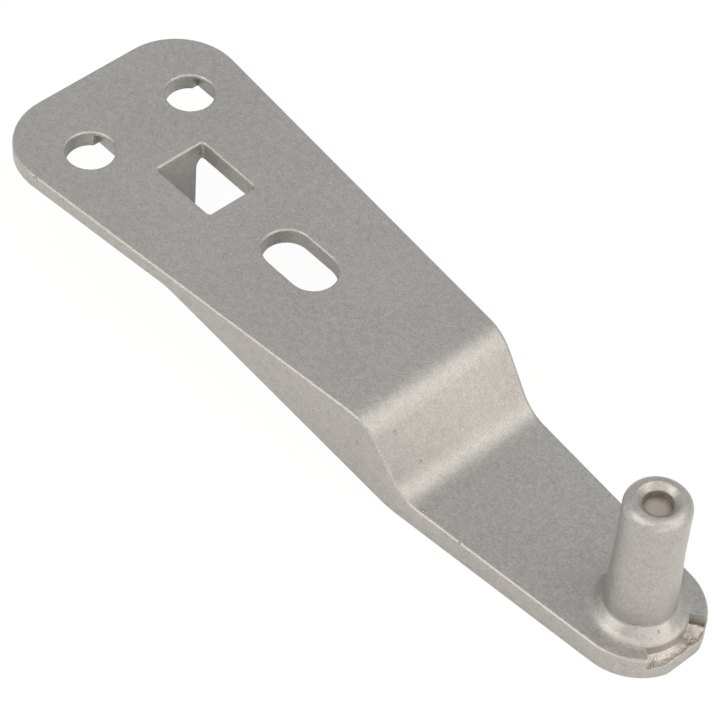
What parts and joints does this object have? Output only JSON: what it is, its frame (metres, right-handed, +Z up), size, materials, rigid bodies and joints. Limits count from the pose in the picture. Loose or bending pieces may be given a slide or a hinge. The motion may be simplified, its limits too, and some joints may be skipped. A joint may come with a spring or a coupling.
{
  "type": "fridge door hinge",
  "caption": "Stainless cast door hinge: a tapered plate with screw holes, slot and window steps down to an arm that carries an upright hinge pin on a conical collar.",
  "frame": {"origin": "on the hinge pin's axis, in the plane of the arm's flat underside", "axes": "+Z up along the hinge pin, +X from the mounting plate towards the pin, and XZ is the plane of symmetry"},
  "size_m": [0.1335, 0.0404, 0.0283],
  "materials": {
    "cast_stainless": "satin as-cast stainless steel with a fine grain"
  },
  "bodies": {
    "root": {"hinge_bracket": "cast_stainless"}
  },
  "joints": []
}
